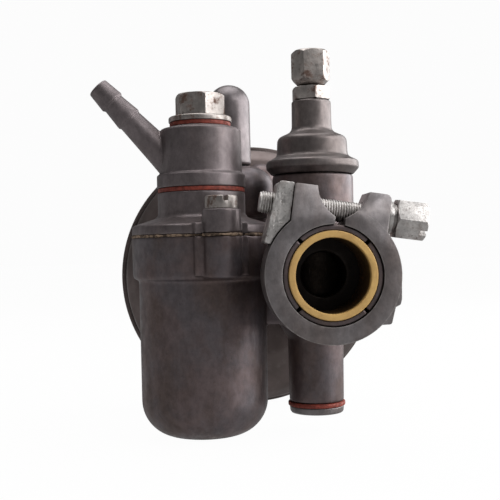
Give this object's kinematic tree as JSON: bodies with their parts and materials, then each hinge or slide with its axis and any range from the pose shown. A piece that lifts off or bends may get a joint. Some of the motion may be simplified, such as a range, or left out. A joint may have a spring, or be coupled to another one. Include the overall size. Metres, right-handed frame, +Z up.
{
  "type": "slide carburettor",
  "caption": "Small slide carburettor with a side float bowl, clamp-on manifold stub, banjo fuel inlet, cable adjuster, choke knob and round drum air filter.",
  "frame": {"origin": "centre of the manifold mouth, on the bore axis at the bush's front face", "axes": "+Y along the bore into the carburettor, +Z up along the throttle slide, -X towards the float bowl"},
  "size_m": [0.0951, 0.1005, 0.112],
  "materials": {
    "body_casting": "aged zinc alloy casting, fine grain, brown-grey patina",
    "cover_casting": "aged zinc alloy casting, matte",
    "cap_casting": "aged zinc alloy casting, dark and smooth",
    "clamp_casting": "cast alloy, lighter grey, satin",
    "knob_metal": "satin grey alloy",
    "slide_metal": "smooth machined metal",
    "plated_steel": "worn zinc-plated steel",
    "bright_steel": "bright steel, rough and scratched",
    "spring_steel": "drawn spring wire",
    "brass": "machined brass, slightly tarnished",
    "fibre": "red vulcanised fibre",
    "paper": "oiled gasket paper",
    "nylon": "aged yellow nylon",
    "rubber": "black rubber",
    "filter_metal": "pressed sheet, satin dark grey",
    "filter_mesh": "oiled filter fleece, coarse mesh",
    "float_plastic": "black moulded plastic"
  },
  "bodies": {
    "carburettor": {"body": "body_casting", "insulating_bush": "nylon", "mixing_chamber_cap": "cap_casting", "slide_guide_pin": "brass", "idle_screw_spring": "spring_steel", "needle_jet": "brass", "main_jet": "brass", "bottom_plug": "clamp_casting", "bottom_plug_washer": "fibre", "needle_seat": "brass", "float_cover": "cover_casting", "float_cover_gasket": "paper", "cover_screws": "plated_steel", "banjo_bolt": "plated_steel", "banjo_washer_upper": "fibre", "banjo_washer_lower": "fibre", "choke_seal": "rubber", "choke_spring": "spring_steel", "throttle_spring": "spring_steel", "filter_gasket": "paper", "filter_screws": "plated_steel", "filter_housing": "filter_metal", "filter_element": "filter_mesh", "filter_cover": "filter_metal", "filter_stud": "plated_steel", "filter_nut": "plated_steel"},
    "clamp": {"clamp_ring": "clamp_casting", "clamp_nut": "bright_steel"},
    "clamp_bolt": {"clamp_bolt": "bright_steel"},
    "throttle": {"throttle_slide": "slide_metal", "jet_needle": "slide_metal", "needle_clip": "brass", "spring_seat": "spring_steel"},
    "adjuster": {"cable_adjuster": "plated_steel"},
    "locknut": {"adjuster_locknut": "plated_steel"},
    "idle_screw": {"idle_screw": "brass"},
    "float": {"float": "float_plastic", "float_needle": "brass"},
    "banjo": {"fuel_banjo": "cover_casting", "fuel_strainer": "brass"},
    "choke": {"choke_knob": "knob_metal", "choke_plunger": "brass"}
  },
  "joints": [
    {"name": "throttle_lift", "type": "slide", "parent": "carburettor", "child": "throttle", "axis": [0, 0, 1], "range_m": [0, 0.0124], "stiffness_N_per_m": 400, "springref_m": -0.01, "deforming": ["throttle_spring"]},
    {"name": "float_rise", "type": "slide", "parent": "carburettor", "child": "float", "axis": [0, 0, 1], "range_m": [0, 0.0034]},
    {"name": "choke_lift", "type": "slide", "parent": "carburettor", "child": "choke", "axis": [0, 0, 1], "range_m": [0, 0.008], "stiffness_N_per_m": 300, "springref_m": -0.008, "deforming": ["choke_spring"]},
    {"name": "adjuster_turn", "type": "hinge", "parent": "carburettor", "child": "adjuster", "pos_m": [0, 0.0325, 0.06], "axis": [0, 0, 1], "continuous": true},
    {"name": "locknut_turn", "type": "hinge", "parent": "carburettor", "child": "locknut", "pos_m": [0, 0.0325, 0.053], "axis": [0, 0, 1], "continuous": true},
    {"name": "idle_screw_turn", "type": "hinge", "parent": "carburettor", "child": "idle_screw", "pos_m": [0.018, 0.0325, 0.008], "axis": [1, 0, 0], "continuous": true},
    {"name": "banjo_swivel", "type": "hinge", "parent": "carburettor", "child": "banjo", "pos_m": [-0.0329, 0.0325, 0.035], "axis": [0, 0, 1], "range_deg": [-60, 60]},
    {"name": "clamp_turn", "type": "hinge", "parent": "carburettor", "child": "clamp", "pos_m": [0, 0.0055, 0], "axis": [0, 1, 0], "range_deg": [-10, 10]},
    {"name": "clamp_bolt_turn", "type": "hinge", "parent": "clamp", "child": "clamp_bolt", "pos_m": [0.00238, 0.0055, 0.01693], "axis": [0.9903, 0, -0.1392], "continuous": true}
  ]
}
